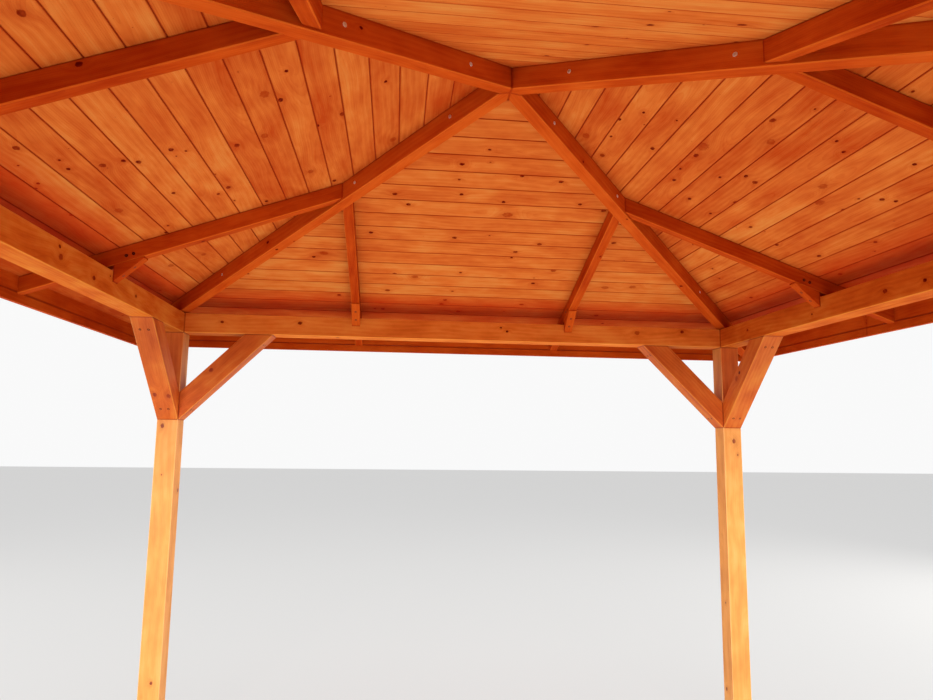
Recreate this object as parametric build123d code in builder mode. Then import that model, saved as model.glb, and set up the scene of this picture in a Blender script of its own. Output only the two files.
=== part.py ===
from build123d import *

import os
from math import atan, atan2, cos, degrees, radians, sin, sqrt, tan

os.makedirs("parts", exist_ok=True)

# Square garden gazebo in planed pine: four posts, wall beams halved at the corners, knee
# braces, and a hipped roof of hip rafters and jack rafters under tongued boards.
# Millimetres, Z up. The origin is on the ground at the middle of the plan, the front is -Y.

# Posts, beams and braces
frame_width = 3000       # over the outer faces of the posts
clear_height = 2050      # ground to the underside of the beams
post_side = 98
beam_depth = 98
beam_width = 98
brace_depth = 98         # square to the brace's length
brace_reach = 435        # along the beam, from the face of the post
arris = 3                # eased long edges of planed timber

# Roof frame
roof_slope = 20          # degrees, of each roof face
overhang = 230           # outer face of the beam to the inner face of the fascia
jack_width = 40
jack_depth = 60
jack_seat = 40           # level part of the notch over the beam
jack_offset = 555        # jack's middle line from the middle of its side
hip_width = 50
hip_depth = 77

# Wedge blocks under the jack rafters
wedge_drop = 42          # how far the block reaches down the beam's inner face
wedge_angle = 42         # degrees, of the block's sloping underside
wedge_tip = 6            # height of its blunt upper end

# Roof boards
board_thickness = 18
board_cover = 91.5       # visible width of one board
eave_board_cover = 80    # the lowest board is ripped down
joint_half_width = 3     # V joint between two boards
joint_depth = 3

# Fascia of two boards, one over the other
fascia_thickness = 18
upper_fascia = 77
lower_fascia = 36
fascia_seam = 1.5

# Roof covering of lapped shingles, and the folded strips on the hips
shingle_exposure = 145
shingle_butt = 7         # height of a course at its lower edge
shingle_head = 4         # height just above, where the next course starts
drip_edge = 15           # covering past the fascia
cap_width = 110          # each side of the hip
cap_thickness = 4

# Each side by the turn of its outward direction from the front, and the names of its ends,
# first the one that its section planes face
sides = {
    "front": (0, ("left", "right")),
    "right": (90, ("front", "back")),
    "back": (180, ("right", "left")),
    "left": (270, ("back", "front")),
}
corners = {
    "front_left": (-1, -1),
    "front_right": (1, -1),
    "back_right": (1, 1),
    "back_left": (-1, 1),
}

# Lines and heights that the pieces share
up = Vector(0, 0, 1)
half_frame = frame_width / 2
inner_face = half_frame - beam_width
beam_line = half_frame - beam_width / 2
beam_middle = clear_height + beam_depth / 2
beam_top = clear_height + beam_depth
eave_line = half_frame + overhang
covering_line = eave_line + fascia_thickness + drip_edge
stock_length = 2 * covering_line

slope = radians(roof_slope)
hip_slope = atan(tan(slope) / sqrt(2))
jack_foot_rise = (beam_width - jack_seat) * tan(slope)
deck_at_beam = beam_top + jack_foot_rise + jack_depth / cos(slope)
deck_apex = deck_at_beam + inner_face * tan(slope)


def outward(turn):
    """Level direction that a side faces."""
    return Vector(0, -1, 0).rotate(Axis.Z, turn)


def along(turn):
    """Level direction along a side, towards the first of its ends."""
    return outward(turn).cross(up)


def section_plane(turn, offset=0):
    """Upright plane across a side: local x is the distance from the middle, local y the height."""
    return Plane(origin=along(turn) * offset, x_dir=outward(turn), z_dir=along(turn))


def rafter_normal(level, angle):
    """Square to a slope that falls towards a level direction."""
    return level * sin(angle) + up * cos(angle)


def uphill(level, angle):
    """Up a slope that falls towards a level direction."""
    return up * sin(angle) - level * cos(angle)


def roof_plane(turn, lift=0):
    """Section plane laid on the roof: local x runs down the slope from the apex, local y out of it."""
    apex = up * (deck_apex + lift / cos(slope))
    return Plane(origin=apex, x_dir=-uphill(outward(turn), slope), z_dir=along(turn))


def underside(distance):
    """Height of a jack rafter's underside at a distance from the middle."""
    return deck_apex - distance * tan(slope) - jack_depth / cos(slope)


def deck_top(distance):
    """Height of the roof boards' upper face at a distance from the middle."""
    return deck_apex - distance * tan(slope) + board_thickness / cos(slope)


def planed_section(width, depth):
    """Planed timber seen end on."""
    Rectangle(width, depth)
    chamfer(vertices(), arris)


def saw(point, normal):
    """Cut off what stands past a plane, on the side that its normal points to."""
    split(bisect_by=Plane(origin=point, z_dir=normal), keep=Keep.BOTTOM)


def mitre(turn):
    """Upright cuts along both hip lines of a roof face."""
    saw((0, 0, 0), along(turn) - outward(turn))
    saw((0, 0, 0), -along(turn) - outward(turn))


def save(piece, name):
    """Label one finished piece and write it."""
    piece.part.label = name
    export_step(piece.part, f"parts/{name}.step")


# Posts stand on the ground and carry the crossings of the beams
post_line = half_frame - post_side / 2
for corner, (x_sign, y_sign) in corners.items():
    with BuildPart() as post:
        with BuildSketch():
            with Locations((x_sign * post_line, y_sign * post_line)):
                planed_section(post_side, post_side)
        extrude(amount=clear_height)
    save(post, f"post_{corner}")

# Beams are halved over each other: the front and back ones keep the lower half of their ends
for side, (turn, _) in sides.items():
    lies_below = side in ("front", "back")
    removed_middle = beam_middle + (1 if lies_below else -1) * beam_depth / 4
    with BuildPart() as beam:
        with BuildSketch(section_plane(turn)):
            with Locations((beam_line, beam_middle)):
                planed_section(beam_width, beam_depth)
        extrude(amount=half_frame, both=True)
        for end in (-1, 1):
            with BuildSketch(section_plane(turn, end * beam_line)):
                with Locations((beam_line, removed_middle)):
                    Rectangle(beam_width, beam_depth / 2)
            extrude(amount=beam_width / 2, both=True, mode=Mode.SUBTRACT)
    save(beam, f"beam_{side}")

# Knee braces run at 45 degrees from the face of a post to the underside of a beam
brace_line = brace_reach / sqrt(2) - brace_depth / 2
for side, (turn, ends) in sides.items():
    for end, sign in zip(ends, (1, -1)):
        to_post = along(turn) * sign
        inner_corner = outward(turn) * beam_line + to_post * (half_frame - post_side) + up * clear_height
        middle = inner_corner - (to_post + up) * (brace_line / sqrt(2))
        with BuildPart() as brace:
            with BuildSketch(Plane(origin=middle, x_dir=outward(turn), z_dir=up - to_post)):
                planed_section(post_side, brace_depth)
            extrude(amount=brace_reach, both=True)
            saw(inner_corner, to_post)
            saw(inner_corner, up)
        save(brace, f"knee_brace_{side}_{end}")

# Hip rafters: backed to both roof faces, mitred together at the apex, notched over the
# crossing of the beams, and cut to a point in the corner of the fascia
for corner, (x_sign, y_sign) in corners.items():
    diagonal = Vector(x_sign, y_sign, 0).normalized()
    faces = (Vector(x_sign, 0, 0), Vector(0, y_sign, 0))
    middle = up * deck_apex - rafter_normal(diagonal, hip_slope) * (hip_depth / 2)
    with BuildPart() as hip:
        with BuildSketch(Plane(origin=middle, x_dir=diagonal.cross(up), z_dir=uphill(diagonal, hip_slope))):
            planed_section(hip_width, hip_depth)
        extrude(amount=stock_length, both=True)
        for face in faces:
            saw(up * deck_apex, rafter_normal(face, slope))
            saw((0, 0, 0), -face)
            saw(face * eave_line, face)
        with BuildSketch(Plane.XY.offset(clear_height)):
            Rectangle(frame_width, frame_width)
            Rectangle(2 * inner_face, 2 * inner_face, mode=Mode.SUBTRACT)
        extrude(amount=beam_depth, mode=Mode.SUBTRACT)
    save(hip, f"hip_rafter_{corner}")

# Jack rafters: a plumb cheek cut against the hip, a level seat and plumb heel over the
# beam, and a plumb cut behind the fascia
for side, (turn, ends) in sides.items():
    for end, sign in zip(ends, (1, -1)):
        to_hip = along(turn) * sign
        middle = up * deck_apex + to_hip * jack_offset - rafter_normal(outward(turn), slope) * (jack_depth / 2)
        cheek = (to_hip - outward(turn)).normalized()
        with BuildPart() as jack:
            with BuildSketch(Plane(origin=middle, x_dir=to_hip, z_dir=uphill(outward(turn), slope))):
                planed_section(jack_width, jack_depth)
            extrude(amount=stock_length, both=True)
            saw(cheek * (-hip_width / 2), cheek)
            saw(outward(turn) * eave_line, outward(turn))
            with BuildSketch(section_plane(turn, sign * jack_offset)):
                with Locations((beam_line, beam_middle)):
                    Rectangle(beam_width, beam_depth)
            extrude(amount=jack_width, both=True, mode=Mode.SUBTRACT)
        save(jack, f"jack_rafter_{side}_{end}")

# Wedge blocks fill the corner between a jack rafter and the beam's inner face
wedge_back = underside(inner_face) - (beam_top - wedge_drop)
wedge_run = (wedge_back - wedge_tip) / (tan(radians(wedge_angle)) - tan(slope))
wedge_end = inner_face - wedge_run
for side, (turn, _) in sides.items():
    with BuildPart() as wedges:
        for sign in (1, -1):
            with BuildSketch(section_plane(turn, sign * jack_offset)):
                with BuildLine():
                    Polyline(
                        (inner_face, beam_top - wedge_drop),
                        (inner_face, underside(inner_face)),
                        (wedge_end, underside(wedge_end)),
                        (wedge_end, underside(wedge_end) - wedge_tip),
                        close=True,
                    )
                make_face()
            extrude(amount=jack_width / 2, both=True)
    save(wedges, f"wedge_blocks_{side}")

# Roof boards of each face, with a V joint between two boards, mitred along the hips
slope_length = eave_line / cos(slope)
joints = [slope_length - eave_board_cover]
while joints[-1] > board_cover:
    joints.append(joints[-1] - board_cover)
for side, (turn, _) in sides.items():
    with BuildPart() as boards:
        with BuildSketch(roof_plane(turn)):
            with BuildLine():
                outline = [(slope_length + board_cover, board_thickness), (slope_length + board_cover, 0)]
                for joint in joints:
                    outline += [(joint + joint_half_width, 0), (joint, joint_depth), (joint - joint_half_width, 0)]
                outline += [(-board_cover, 0), (-board_cover, board_thickness)]
                Polyline(*outline, close=True)
            make_face()
        extrude(amount=stock_length / 2, both=True)
        mitre(turn)
        saw(outward(turn) * eave_line, outward(turn))
    save(boards, f"roof_boards_{side}")

# Fascia: the upper board's top follows the roof boards, the lower one hangs below the tails
seam_height = deck_top(eave_line) - upper_fascia
fascia_face = eave_line + fascia_thickness
for side, (turn, _) in sides.items():
    with BuildPart() as fascia:
        with BuildSketch(section_plane(turn)):
            with BuildLine():
                Polyline(
                    (eave_line, seam_height),
                    (fascia_face, seam_height),
                    (fascia_face, deck_top(fascia_face)),
                    (eave_line, deck_top(eave_line)),
                    close=True,
                )
            make_face()
            with Locations((eave_line, seam_height - fascia_seam)):
                Rectangle(fascia_thickness, lower_fascia, align=(Align.MIN, Align.MAX))
        extrude(amount=fascia_face, both=True)
        mitre(turn)
    save(fascia, f"fascia_{side}")

# Shingles of each face, as lapped courses that step up at each lower edge
covering_length = covering_line / cos(slope)
for side, (turn, _) in sides.items():
    with BuildPart() as shingles:
        with BuildSketch(roof_plane(turn, board_thickness)):
            with BuildLine():
                outline = [(covering_length, 0)]
                edge = covering_length
                while edge > -shingle_exposure:
                    outline += [(edge, shingle_butt), (edge - shingle_exposure, shingle_head)]
                    edge -= shingle_exposure
                outline.append((edge, 0))
                Polyline(*outline, close=True)
            make_face()
        extrude(amount=covering_line, both=True)
        mitre(turn)
    save(shingles, f"shingles_{side}")

# Hip caps: one folded strip to each hip, mitred and joined at the top
covering_apex = up * (deck_apex + (board_thickness + shingle_butt) / cos(slope))
diagonal = Vector(-1, -1, 0).normalized()
front = outward(0)
fall = rafter_normal(front, slope)
cap_slope = atan2(sin(slope) * front.dot(diagonal), fall.dot(rafter_normal(diagonal, hip_slope)))
cap_lift = cap_thickness / cos(cap_slope)
cap_reach = cap_width * cos(cap_slope)
cap_fall = cap_width * sin(cap_slope)
with BuildPart() as hip_caps:
    with BuildSketch(Plane(origin=covering_apex, x_dir=diagonal.cross(up), z_dir=uphill(diagonal, hip_slope))):
        with BuildLine():
            Polyline(
                (0, 0),
                (cap_reach, -cap_fall),
                (cap_reach, cap_lift - cap_fall),
                (0, cap_lift),
                (-cap_reach, cap_lift - cap_fall),
                (-cap_reach, -cap_fall),
                close=True,
            )
        make_face()
    extrude(amount=stock_length, both=True)
    for face in (Vector(-1, 0, 0), Vector(0, -1, 0)):
        saw((0, 0, 0), -face)
        saw(face * covering_line, face)
    mirror(about=Plane.YZ)
    mirror(about=Plane.XZ)
save(hip_caps, "hip_caps")

print("apex of the boards' underside", round(deck_apex, 1), "degrees of the hips", round(degrees(hip_slope), 2))
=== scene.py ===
# %% [markdown]
# A square garden gazebo of planed, amber-stained pine, seen from inside under its hipped roof.
# The imported frame gives every post, beam, brace and rafter its true shape and place. This
# lesson dresses it: solid-wood grain on the timbers, separate tongued boards, screws, and a
# covering of lapped shingles. The first step loads the frame, with a helper that reads the box
# of each of its parts.

# %% Load the frame
import math
import random

import bpy
import numpy as np
from mathutils import Matrix, Vector


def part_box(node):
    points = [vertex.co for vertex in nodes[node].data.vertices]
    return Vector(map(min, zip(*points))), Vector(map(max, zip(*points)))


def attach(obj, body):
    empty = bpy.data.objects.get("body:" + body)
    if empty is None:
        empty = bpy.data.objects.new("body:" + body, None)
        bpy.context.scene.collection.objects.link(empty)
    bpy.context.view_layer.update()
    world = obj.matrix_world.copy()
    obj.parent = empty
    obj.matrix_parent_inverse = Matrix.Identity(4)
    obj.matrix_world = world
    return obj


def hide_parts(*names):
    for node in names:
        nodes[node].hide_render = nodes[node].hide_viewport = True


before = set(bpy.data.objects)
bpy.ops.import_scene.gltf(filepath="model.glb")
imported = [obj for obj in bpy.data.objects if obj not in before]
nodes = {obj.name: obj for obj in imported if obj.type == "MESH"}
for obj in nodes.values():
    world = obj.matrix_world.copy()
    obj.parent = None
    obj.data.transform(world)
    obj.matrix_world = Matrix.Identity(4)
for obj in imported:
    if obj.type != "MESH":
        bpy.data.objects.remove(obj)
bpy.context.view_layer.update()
scene = bpy.context.scene
scene.view_settings.view_transform = "Standard"
print("timbers and skins in the frame:", len(nodes))

# %% [markdown]
# The camera stands inside, at eye level near the front beam, looking a little to the right and
# up. Its place and turns were worked out from the straight edges of the beams and boards, so
# they are typed in as numbers. The focal length is kept in pixels of a picture 933 wide and
# turned into millimetres of a 36 mm sensor.

# %% Camera
EYE = (-0.345, -2.028, 1.550)
TURN, TILT, LEAN = (math.radians(angle) for angle in (6.02, 7.41, 0.75))
FOCAL_PX, IMAGE_WIDTH, SENSOR = 669.4, 933, 36.0

camera = bpy.data.objects.new("camera", bpy.data.cameras.new("camera"))
scene.collection.objects.link(camera)
camera.data.sensor_fit = "HORIZONTAL"
camera.data.sensor_width = SENSOR
camera.data.lens = FOCAL_PX * SENSOR / IMAGE_WIDTH
camera.matrix_world = (
    Matrix.Translation(EYE)
    @ Matrix.Rotation(-TURN, 4, "Z")
    @ Matrix.Rotation(math.pi / 2 + TILT, 4, "X")
    @ Matrix.Rotation(LEAN, 4, "Z")
)
scene.camera = camera
print("lens", round(camera.data.lens, 2), "mm")

# %% [markdown]
# Every finish in this lesson is a small network of nodes. A few helpers keep them readable: one
# turns a colour written in hex into the linear numbers that the shader works with, one gives the
# inputs of a node a value or a link, one adds a node, and two start a material or a node group.

# %% Helpers for finishes
def linear(hex_colour):
    """An sRGB hex colour as linear red, green, blue and alpha."""
    parts = [int(hex_colour[i:i + 2], 16) / 255 for i in (1, 3, 5)]
    return [c / 12.92 if c <= 0.04045 else ((c + 0.055) / 1.055) ** 2.4 for c in parts] + [1]


def feed(tree, node, inputs):
    """Gives inputs of a node a value or a link. A node given as a value stands for its first output."""
    for socket, value in inputs.items():
        if isinstance(value, bpy.types.Node):
            value = value.outputs[0]
        if isinstance(value, bpy.types.NodeSocket):
            tree.links.new(value, node.inputs[socket])
        else:
            node.inputs[socket].default_value = value


def add(tree, kind, inputs=None, **settings):
    """Adds a node of this kind, sets its properties, and gives its inputs a value or a link."""
    node = tree.nodes.new(kind if kind.startswith("Node") else "ShaderNode" + kind)
    for name, value in settings.items():
        setattr(node, name, value)
    feed(tree, node, inputs or {})
    return node


def new_finish(name):
    """A material with its nodes and its shader."""
    finish = bpy.data.materials.new(name)
    finish.use_nodes = True
    return finish, finish.node_tree, finish.node_tree.nodes["Principled BSDF"]


def group(name, takes, gives):
    """A node group with its sockets, and what it is given."""
    tree = bpy.data.node_groups.new(name, "ShaderNodeTree")
    for way, sockets in (("INPUT", takes), ("OUTPUT", gives)):
        for label, kind in sockets.items():
            tree.interface.new_socket(label, in_out=way, socket_type="NodeSocket" + kind)
    return tree, add(tree, "NodeGroupInput").outputs


print("deep red as linear numbers:", [round(part, 3) for part in linear("#8A2204")])

# %% [markdown]
# A knot is where a branch ran through the timber. Seen from the face it is a dark spot with a
# soft rim, a little longer along the grain, and the growth rings swing round it. The group
# gives both parts: how much of a point is knot, and how far the rings are pushed there.

# %% Knot
knot, given = group(
    "knot",
    {"Place": "Vector", "Centre": "Vector", "Radius": "Float", "Spread": "Vector"},
    {"Core": "Float", "Push": "Float"},
)
away = add(knot, "VectorMath", {0: given["Place"], 1: given["Centre"]}, operation="SUBTRACT")
away = add(knot, "VectorMath", {0: away, 1: given["Spread"]}, operation="MULTIPLY")
reach = add(knot, "VectorMath", {0: away}, operation="LENGTH")
radii = add(knot, "Math", {0: reach.outputs["Value"], 1: given["Radius"]}, operation="DIVIDE")
# the rim wobbles by a sixth of the radius, in lumps of about 8 mm
lumps = add(knot, "TexNoise", {"Vector": given["Place"], "Scale": 120.0, "Detail": 1.0})
wobble = add(knot, "Math", {0: lumps, 1: 0.7, 2: -0.35}, operation="MULTIPLY_ADD")
rim = add(knot, "Math", {0: radii, 1: wobble}, operation="ADD")
core = add(
    knot, "MapRange", {"Value": rim, "From Min": 1.05, "From Max": 0.7}, interpolation_type="SMOOTHSTEP"
)
push = add(
    knot, "MapRange", {"Value": radii, "From Min": 5.0, "From Max": 0.0}, interpolation_type="SMOOTHERSTEP"
)
# a wide knot was a live branch and is only redder, a narrow one was dead and is nearly black
black = add(
    knot, "MapRange",
    {"Value": given["Radius"], "From Min": 0.008, "From Max": 0.012, "To Min": 1.0, "To Max": 0.35},
)
core = add(knot, "Math", {0: core, 1: black}, operation="MULTIPLY")
add(knot, "NodeGroupOutput", {"Core": core, "Push": push})
print("nodes of a knot:", len(knot.nodes))

# %% [markdown]
# Pine is a solid texture: growth rings are cylinders round the pith, so a plank cut beside the
# pith shows long arches and one cut through it shows straight lines, and the end shows arcs.
# Working in the timber's own directions, x along the grain, gives all three from one rule. The
# pith wanders, the rings differ in width, and an amber glaze soaks in deeper in some places, in
# clouds a hand wide. Real rings are 3 to 5 mm apart, which is about one pixel here, so they are
# joined by a broader figure four rings wide that shows at this distance.

# %% Growth rings and fibres
RING, RINGS_IN_FIGURE = 0.0042, 4.3      # metres from ring to ring

pine, given = group(
    "stained_pine",
    {"Place": "Vector", "Log": "Vector", "Knot": "Float", "Push": "Float", "Tone": "Float",
     "Pale": "Color", "Amber": "Color", "Deep": "Color"},
    {"Colour": "Color", "Roughness": "Float", "Height": "Float"},
)
grain = add(pine, "VectorMath", {0: given["Place"], 1: given["Log"]}, operation="ADD")
# the pith wanders by up to 25 mm, over about a metre of length
slow = add(pine, "VectorMath", {0: grain, 1: (1.1, 3.0, 3.0)}, operation="MULTIPLY")
drift = add(pine, "TexNoise", {"Vector": slow, "Scale": 1.0, "Detail": 2.0})
drift = add(
    pine, "VectorMath",
    {0: drift.outputs["Color"], 1: (0, 0.10, 0.10), 2: (0, -0.05, -0.05)}, operation="MULTIPLY_ADD",
)
bent = add(pine, "VectorMath", {0: grain, 1: drift}, operation="ADD")
across = add(pine, "VectorMath", {0: bent, 1: (0.0, 1.0, 1.0)}, operation="MULTIPLY")
radius = add(pine, "VectorMath", {0: across}, operation="LENGTH")
rings = add(pine, "Math", {0: radius.outputs["Value"], 1: 1 / RING}, operation="MULTIPLY")
bulge = add(pine, "Math", {0: given["Push"], 1: 3.5, 2: rings}, operation="MULTIPLY_ADD")
late = add(pine, "Math", {0: bulge}, operation="FRACT")
late = add(pine, "Math", {0: late, 1: 2.5}, operation="POWER")
figure = add(pine, "Math", {0: bulge, 1: 2 * math.pi / RINGS_IN_FIGURE}, operation="MULTIPLY")
figure = add(pine, "Math", {0: figure}, operation="SINE")
# fibres half a millimetre wide show as streaks: drawn 6 mm wide, a pixel or two, and 120 mm long
threads = add(pine, "VectorMath", {0: bent, 1: (8.0, 170.0, 170.0)}, operation="MULTIPLY")
fibre = add(pine, "TexNoise", {"Vector": threads, "Scale": 1.0, "Detail": 3.0})
cloud = add(pine, "VectorMath", {0: grain, 1: (5.0, 12.0, 12.0)}, operation="MULTIPLY")
soak = add(pine, "TexNoise", {"Vector": cloud, "Scale": 1.0, "Detail": 3.0, "Roughness": 0.55})
print("growth rings", RING * 1000, "mm apart")

# %% [markdown]
# All of these add up to one number, how deep the glaze went in: more in the late wood of a ring
# and along the fibres, most of all in the clouds. It runs through three colours, pale, amber and
# deep, which each timber brings along.

# %% Depth of the glaze
depth = 0.11
for part, weight in (
    (late, 0.09), (figure, 0.05), (fibre, 0.26), (soak, 1.04), (given["Push"], 0.06), (given["Tone"], 1.0)
):
    depth = add(pine, "Math", {0: part, 1: weight, 2: depth}, operation="MULTIPLY_ADD")
half = add(pine, "MapRange", {"Value": depth, "From Min": 0.40, "From Max": 0.82})
light_part = add(pine, "Mix", {0: half, 6: given["Pale"], 7: given["Amber"]}, data_type="RGBA")
rest = add(pine, "MapRange", {"Value": depth, "From Min": 0.80, "From Max": 1.25})
wood = add(pine, "Mix", {0: rest, 6: light_part.outputs[2], 7: given["Deep"]}, data_type="RGBA")
print("nodes of the pine so far:", len(pine.nodes))

# %% [markdown]
# Resin reddens the wood round a knot, and its core is dark in patches. The last nodes hand out
# the colour, the gloss, which varies with the fibres, and the relief of the late wood, which
# stands a little proud.

# %% Knots and relief of the pine
halo = add(pine, "Math", {0: given["Push"], 1: 3.0}, operation="POWER")
halo = add(pine, "MapRange", {"Value": halo, "To Max": 0.16})
ringed = add(pine, "Mix", {0: halo, 6: wood.outputs[2], 7: linear("#93340A")}, data_type="RGBA")
patches = add(pine, "TexNoise", {"Vector": given["Place"], "Scale": 70.0, "Detail": 1.0})
patches = add(pine, "MapRange", {"Value": patches, "From Min": 0.3, "From Max": 0.6, "To Min": 0.65})
heart = add(pine, "Math", {0: given["Knot"], 1: patches}, operation="MULTIPLY")
live = add(pine, "MapRange", {"Value": heart, "From Max": 0.35, "To Max": 0.7})
dead = add(pine, "MapRange", {"Value": heart, "From Min": 0.35})
with_knots = add(pine, "Mix", {0: live, 6: ringed.outputs[2], 7: linear("#942602")}, data_type="RGBA")
with_knots = add(pine, "Mix", {0: dead, 6: with_knots.outputs[2], 7: linear("#5E0800")}, data_type="RGBA")
gloss = add(
    pine, "MapRange",
    {"Value": fibre, "From Min": 0.3, "From Max": 0.7, "To Min": 0.50, "To Max": 0.66},
)
relief = add(pine, "Math", {0: fibre, 1: 0.7, 2: late}, operation="MULTIPLY_ADD")
add(pine, "NodeGroupOutput", {"Colour": with_knots.outputs[2], "Roughness": gloss, "Height": relief})
print("nodes of the pine in all:", len(pine.nodes))

# %% [markdown]
# The same amber glaze has its own colours on each kind of timber: the boards are lighter than
# the rafters, the braces and side beams take a darker copy as painted shade, and the posts a
# paler copy up to the braces as painted sunlight. The posts and braces got a closed coat that
# shines; the rest soaked it up and is matt.

# %% Colours of the glaze
SOAKED, CLOSED = 0.01, 0.35   # reflection of a glaze that soaked in, and of a closed coat
GLAZES = {                    # pale, amber, deep
    "board": ("#D38B42", "#CB6A29", "#B14212"),
    "shaded": ("#DC8632", "#CC621B", "#A83C09"),
    "beam": ("#EA9440", "#DC752A", "#BC5012"),
    "rafter": ("#CC5E1B", "#BB480F", "#9C2D05"),
    "painted_sunlit": ("#F5B66C", "#E99E4C", "#CA7A32"),
}
print("glazes:", ", ".join(GLAZES))

# %% [markdown]
# Where two timbers meet, a fine dark line is drawn where a point is near one of the timber's
# joint planes: glaze gathered in the joint, and painted shade of the gap. Knots are copies of the
# knot group, one for each, and the strongest counts. The coat hands colour and gloss to the
# shader and turns the relief into a fine bump.

# %% Joint lines of glaze and painted shade, knots and coat
def joint_glaze_and_shade(tree, here, seams):
    """Strong along the planes, given as direction and distance, where a timber meets others: glaze in the
    joint and painted shade.
    """
    nearest = None
    for direction, distance in seams:
        reach = add(tree, "VectorMath", {0: here, 1: direction}, operation="DOT_PRODUCT").outputs["Value"]
        gap = add(tree, "Math", {0: reach, 1: distance}, operation="SUBTRACT")
        gap = add(tree, "Math", {0: gap}, operation="ABSOLUTE")
        nearest = add(tree, "Math", {0: gap, 1: nearest}, operation="MINIMUM") if nearest else gap
    return add(
        tree, "MapRange",
        {"Value": nearest, "From Min": 0.0020, "From Max": 0.0055, "To Min": 0.65, "To Max": 0.0},
    )


def knots_in(tree, marks, meet):
    """How much is knot and how far the rings are pushed, from (place, centre, radius, spread) of each."""
    core = push = 0.0
    for mark in marks:
        inputs = dict(zip(("Place", "Centre", "Radius", "Spread"), mark))
        one = add(tree, "Group", inputs, node_tree=knot).outputs
        core = add(tree, "Math", {0: core, 1: one["Core"]}, operation="MAXIMUM")
        push = add(tree, "Math", {0: push, 1: one["Push"]}, operation=meet)
    return core, push


def coat(tree, shader, look, colour, shine):
    """The pine under its glaze: this colour, the pine's gloss and its relief as a bump."""
    bump = add(tree, "Bump", {"Height": look["Height"], "Strength": 0.5, "Distance": 0.0006})
    feed(tree, shader, {"Base Color": colour, "Roughness": look["Roughness"], "Normal": bump,
                        "Specular IOR Level": shine})


# %% [markdown]
# Planed timber has eased edges that wear paler, drawn paler still as a painted highlight, and
# sawn ends that drink the stain and turn dark. Both can be told from the way a face looks in the
# timber's own directions: an end faces along the grain, and an eased edge faces halfway between
# two sides. The posts' pale colours are painted sunlight; above the shade line they change over
# to those of the beams, as painted shade under the roof. Light from both sides reaches in there,
# so on the faces square to x the painted sunlight goes higher.

# %% Wear, painted highlight and painted sunlight
END_DEPTH, EDGE_WEAR_AND_HIGHLIGHT = 0.35, 0.9
# the shade line parts a post's painted sunlight from its painted shade; on the side faces it is painted
# higher
SHADE_LINE, SIDE_LIGHT = 1.64, 0.45   # metres above ground, and how much higher on the side faces


def wear_and_edge_highlight(tree, facing, tone):
    """The timber's tone, deeper on its sawn ends, and paler on its eased edges as wear and a painted
    highlight.
    """
    worn_and_highlit_edge = add(tree, "Math", {0: facing[1], 1: facing[2]}, operation="MULTIPLY")
    worn_and_highlit_edge = add(tree, "Math", {0: worn_and_highlit_edge}, operation="ABSOLUTE")
    ends = add(tree, "Math", {0: facing[0]}, operation="ABSOLUTE")
    ends = add(
        tree, "MapRange",
        {"Value": ends, "From Min": 0.55, "From Max": 0.75, "To Min": tone, "To Max": tone + END_DEPTH},
    )
    # the eased edges come out paler: worn, and a painted highlight along them
    return add(tree, "Math", {0: worn_and_highlit_edge, 1: -EDGE_WEAR_AND_HIGHLIGHT, 2: ends}, operation="MULTIPLY_ADD")


def painted_sunlit_below(tree, here, facing, colours):
    """The three colours of a post: the given ones below the shade line as painted sunlight, the beams' own
    above it as painted shade.
    """
    sideways = add(tree, "Math", {0: facing[1]}, operation="ABSOLUTE")
    height = add(tree, "SeparateXYZ", {0: here}).outputs[2]
    height = add(tree, "Math", {0: sideways, 1: -SIDE_LIGHT, 2: height}, operation="MULTIPLY_ADD")
    low, high = SHADE_LINE - 0.04, SHADE_LINE + 0.02
    shade = add(tree, "MapRange", {"Value": height, "From Min": low, "From Max": high})
    return [
        add(tree, "Mix", {0: shade, 6: colour, 7: linear(kept)}, data_type="RGBA").outputs[2]
        for colour, kept in zip(colours, GLAZES["beam"])
    ]


# %% [markdown]
# Now one timber's whole finish. A Mapping node turns a point of the object into the timber's own
# place, x along the grain from its middle, and another does the same for the way a face looks.
# A knot runs right through: it is a cylinder across the timber, square to one pair of faces.
# The rest is the pine group, the joint line over it, and the coat.

# %% One timber's finish
def timber_finish(name, middle, axes, log, knots, glaze, tone, seams, shine):
    """Stained pine for one timber; its axes run along the grain, to the side, and square to both."""
    finish, tree, shader = new_finish("stained_pine_" + name)
    own = Matrix(axes)
    turn = own.to_euler()
    here = add(tree, "TexCoord").outputs["Object"]
    place = add(tree, "Mapping", {"Vector": here, "Location": -(own @ middle), "Rotation": turn})
    normal = add(tree, "NewGeometry").outputs["Normal"]
    facing = add(tree, "Mapping", {"Vector": normal, "Rotation": turn}, vector_type="NORMAL")
    facing = add(tree, "SeparateXYZ", {0: facing}).outputs
    marks = []
    for x, across, size, pair in knots:
        centre, spread = ((x, across, 0), (0.75, 1, 0)) if pair == "top" else ((x, 0, across), (0.75, 0, 1))
        marks.append((place, centre, size, spread))
    core, push = knots_in(tree, marks, "MAXIMUM")
    colours = [linear(colour) for colour in GLAZES[glaze]]
    # a post's colours are painted sunlight below the shade line and painted shade above it
    if glaze == "painted_sunlit":
        colours = painted_sunlit_below(tree, here, facing, colours)
    look = add(
        tree, "Group",
        {"Place": place, "Log": log, "Knot": core, "Push": push, "Tone": wear_and_edge_highlight(tree, facing, tone),
         "Pale": colours[0], "Amber": colours[1], "Deep": colours[2]}, node_tree=pine,
    ).outputs
    joint_and_shade = joint_glaze_and_shade(tree, here, seams)
    # the joint line: glaze in the joint, and painted shade of the gap
    colour = add(tree, "Mix", {0: joint_and_shade, 6: look["Colour"], 7: linear("#8A2204")}, data_type="RGBA").outputs[2]
    coat(tree, shader, look, colour, shine)
    return finish


# %% [markdown]
# Each timber lies its own way, so its direction is worked out from its name: posts stand,
# beams follow their side, braces rise at 45 degrees towards the beam, hips fall along the
# diagonals and jacks straight down their roof face. The planes of its joints follow from the
# same names.

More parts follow.
